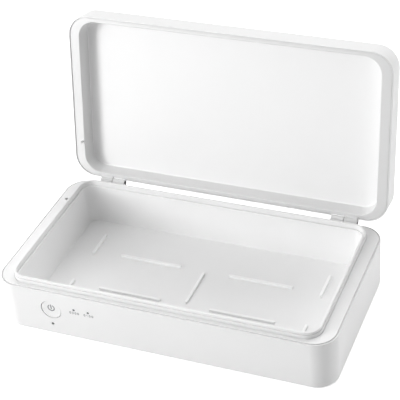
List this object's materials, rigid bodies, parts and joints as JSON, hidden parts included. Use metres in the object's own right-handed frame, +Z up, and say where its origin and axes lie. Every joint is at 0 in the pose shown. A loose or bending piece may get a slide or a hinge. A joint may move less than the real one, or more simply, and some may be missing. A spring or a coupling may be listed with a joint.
{
  "type": "uv phone sanitizer box",
  "caption": "White UV sanitizer box for phones with an open hinged lid, ribbed tray, round power button and two indicator lamps.",
  "frame": {"origin": "middle of the flat underside of the base; the feet reach 1 mm below it", "axes": "+X along the length to the right as seen from the front, +Y towards the hinge, +Z up"},
  "size_m": [0.22, 0.1561, 0.1491],
  "materials": {
    "white_plastic": "satin",
    "liner_plastic": "satin",
    "cover_plastic": "fine grain",
    "button_plastic": "satin",
    "plunger_plastic": "smooth",
    "foot_rubber": "matte",
    "screw_steel": "zinc plated",
    "pin_steel": "ground",
    "socket_steel": "stamped",
    "board_green": "solder mask",
    "black_plastic": "moulded",
    "capacitor_can": "sleeved can",
    "cable_grey": "flexible",
    "lens_clear": "clear",
    "led_yellow": "epoxy",
    "quartz": "polished"
  },
  "bodies": {
    "base": {"base_shell": "white_plastic", "bottom_cover": "cover_plastic", "rubber_feet": "foot_rubber", "cover_screws": "screw_steel", "top_frame": "white_plastic", "tub_liner": "liner_plastic", "hinge_pin_left": "pin_steel", "hinge_pin_right": "pin_steel", "main_board": "board_green", "controller_chip": "black_plastic", "power_capacitors": "capacitor_can", "usb_inlet": "socket_steel", "interlock_switch": "black_plastic", "control_board": "board_green", "control_cable": "cable_grey", "tact_switch": "black_plastic", "indicator_lens_left": "lens_clear", "indicator_lens_right": "lens_clear", "indicator_leds": "led_yellow", "buzzer": "black_plastic", "uv_board": "board_green", "uv_leds": "led_yellow", "uv_windows": "quartz", "uv_cable": "cable_grey"},
    "lid": {"lid_shell": "white_plastic", "lid_liner": "liner_plastic"},
    "power_button": {"power_button": "button_plastic", "switch_stem": "plunger_plastic"},
    "interlock_plunger": {"interlock_plunger": "black_plastic"}
  },
  "joints": [
    {"name": "lid_hinge", "type": "hinge", "parent": "base", "child": "lid", "pos_m": [0, 0.059, 0.03415], "axis": [1, 0, 0], "range_deg": [0, 101]},
    {"name": "power_button_press", "type": "slide", "parent": "base", "child": "power_button", "axis": [0, 1, 0], "range_m": [0, 0.0005], "stiffness_N_per_m": 1500},
    {"name": "interlock_press", "type": "slide", "parent": "base", "child": "interlock_plunger", "axis": [0, 0, -1], "range_m": [0, 0.0012], "stiffness_N_per_m": 60}
  ],
  "couplings": [
    {"joint": "interlock_press", "follows": "lid_hinge", "m_per_rad": 0.00068}
  ]
}
